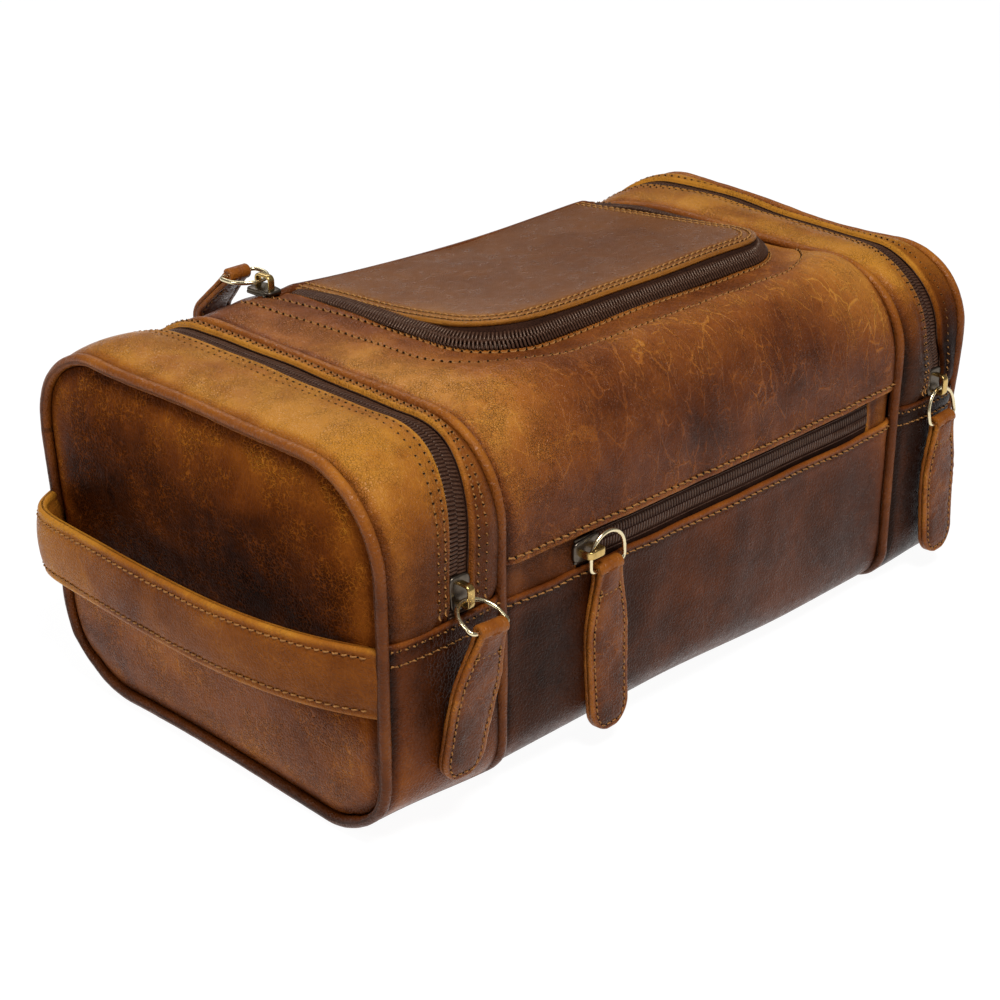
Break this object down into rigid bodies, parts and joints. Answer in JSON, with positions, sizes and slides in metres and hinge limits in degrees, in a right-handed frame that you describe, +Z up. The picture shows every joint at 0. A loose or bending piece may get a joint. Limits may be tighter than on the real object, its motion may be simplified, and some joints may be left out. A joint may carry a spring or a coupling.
{
  "type": "shaving kit bag",
  "caption": "Soft rectangular leather toiletry bag with a zipped lid on top, a zipped front pocket, a zipped compartment at each end and a strap handle on one end.",
  "frame": {"origin": "centre of the bottom face, midway between the two end pipings", "axes": "+X along the bag away from the handle, +Y to the back, away from the front pocket, +Z up"},
  "size_m": [0.3194, 0.1997, 0.1354],
  "materials": {
    "tan_leather": "waxed pull-up leather, golden tan, satin",
    "brown_leather": "waxed pull-up leather, chestnut to dark brown, satin",
    "piping_leather": "waxed leather over cord, lighter on the ridge",
    "tab_leather": "two layers of leather, stitched round the edge",
    "zip": "woven tape with a nylon coil, dark brown",
    "lining": "plain woven lining cloth",
    "board": "stiffening board",
    "slider_metal": "dark bronze, lightly polished",
    "bridge_brass": "bright antique brass",
    "ring_brass": "pale gold wire"
  },
  "bodies": {
    "bag": {"main_top_panel": "tan_leather", "back_panel": "brown_leather", "bottom_panel": "brown_leather", "front_pocket_panel": "brown_leather", "pocket_end_tabs": "tan_leather", "pocket_zip_upper": "zip", "pocket_zip_lower": "zip", "pocket_lining": "lining", "base_board": "board", "main_lining": "lining", "left_divider": "lining", "right_divider": "lining", "left_inner_piping": "piping_leather", "right_inner_piping": "piping_leather", "left_outer_piping_lower": "piping_leather", "right_outer_piping_lower": "piping_leather", "left_gusset_lower": "brown_leather", "right_gusset_lower": "brown_leather", "left_gusset_inner": "tan_leather", "right_gusset_inner": "tan_leather", "left_zip_inner": "zip", "right_zip_inner": "zip", "left_end_panel_lower": "brown_leather", "right_end_panel_lower": "brown_leather", "left_lining_lower": "lining", "right_lining_lower": "lining", "lid_zip_outer": "zip", "lid_welt": "piping_leather", "handle_outer": "tan_leather", "handle_inner": "tan_leather"},
    "left_cover": {"left_end_panel_upper": "brown_leather", "left_gusset_outer": "tan_leather", "left_outer_piping_upper": "piping_leather", "left_zip_outer": "zip", "left_lining_upper": "lining"},
    "right_cover": {"right_end_panel_upper": "brown_leather", "right_gusset_outer": "tan_leather", "right_outer_piping_upper": "piping_leather", "right_zip_outer": "zip", "right_lining_upper": "lining"},
    "lid": {"lid_panel": "brown_leather", "lid_lining": "lining", "lid_zip_inner": "zip"},
    "pocket_runner": {"pocket_slider": "slider_metal", "pocket_bridge": "bridge_brass"},
    "pocket_pull_ring": {"pocket_ring": "ring_brass"},
    "pocket_pull_tab": {"pocket_tab": "tab_leather"},
    "left_runner": {"left_slider": "slider_metal", "left_bridge": "bridge_brass"},
    "left_pull_ring": {"left_ring": "ring_brass"},
    "left_pull_tab": {"left_tab": "tab_leather"},
    "right_runner": {"right_slider": "slider_metal", "right_bridge": "bridge_brass"},
    "right_pull_ring": {"right_ring": "ring_brass"},
    "right_pull_tab": {"right_tab": "tab_leather"},
    "lid_runner": {"lid_slider": "slider_metal", "lid_bridge": "bridge_brass"},
    "lid_pull_ring": {"lid_ring": "ring_brass"},
    "lid_pull_tab": {"lid_tab": "tab_leather"}
  },
  "joints": [
    {"name": "left_cover_fold", "type": "hinge", "parent": "bag", "child": "left_cover", "pos_m": [-0.1525, 0, 0.0732], "axis": [0, -1, 0], "range_deg": [0, 30]},
    {"name": "right_cover_fold", "type": "hinge", "parent": "bag", "child": "right_cover", "pos_m": [0.1525, 0, 0.0732], "axis": [0, 1, 0], "range_deg": [0, 30]},
    {"name": "lid_hinge", "type": "hinge", "parent": "bag", "child": "lid", "pos_m": [0, 0.0603, 0.1274], "axis": [-1, 0, 0], "range_deg": [0, 100]},
    {"name": "pocket_slider_travel", "type": "slide", "parent": "bag", "child": "pocket_runner", "axis": [1, 0, 0], "range_m": [0, 0.145]},
    {"name": "left_slider_travel", "type": "slide", "parent": "bag", "child": "left_runner", "axis": [0, 0, 1], "range_m": [0, 0.01]},
    {"name": "right_slider_travel", "type": "slide", "parent": "bag", "child": "right_runner", "axis": [0, 0, 1], "range_m": [0, 0.012]},
    {"name": "lid_slider_travel", "type": "slide", "parent": "bag", "child": "lid_runner", "axis": [0, -1, 0], "range_m": [0, 0.009]},
    {"name": "pocket_ring_swing", "type": "hinge", "parent": "pocket_runner", "child": "pocket_pull_ring", "pos_m": [-0.0625, -0.0882, 0.076], "axis": [0, 0, -1], "range_deg": [0, 80]},
    {"name": "left_ring_swing", "type": "hinge", "parent": "left_runner", "child": "left_pull_ring", "pos_m": [-0.1195, -0.0882, 0.0796], "axis": [-0.9976, 0, 0.0698], "range_deg": [0, 50]},
    {"name": "right_ring_swing", "type": "hinge", "parent": "right_runner", "child": "right_pull_ring", "pos_m": [0.132, -0.0882, 0.0766], "axis": [-0.9986, 0, -0.0523], "range_deg": [0, 90]},
    {"name": "lid_ring_swing", "type": "hinge", "parent": "lid_runner", "child": "lid_pull_ring", "pos_m": [-0.068, 0.0676, 0.1306], "axis": [1, 0, 0], "range_deg": [0, 100]},
    {"name": "pocket_tab_swing", "type": "hinge", "parent": "pocket_pull_ring", "child": "pocket_pull_tab", "pos_m": [-0.05503, -0.0882, 0.06826], "axis": [-0.9994, 0, -0.0349], "range_deg": [0, 90]},
    {"name": "left_tab_swing", "type": "hinge", "parent": "left_pull_ring", "child": "left_pull_tab", "pos_m": [-0.11987, -0.09953, 0.07433], "axis": [-0.9976, 0, 0.0698], "range_deg": [0, 80]},
    {"name": "right_tab_swing", "type": "hinge", "parent": "right_pull_ring", "child": "right_pull_tab", "pos_m": [0.13264, -0.09037, 0.06431], "axis": [-0.9986, 0, -0.0523], "range_deg": [0, 80]},
    {"name": "lid_tab_swing", "type": "hinge", "parent": "lid_pull_ring", "child": "lid_pull_tab", "pos_m": [-0.068, 0.0801, 0.1306], "axis": [1, 0, 0], "range_deg": [0, 70]}
  ]
}
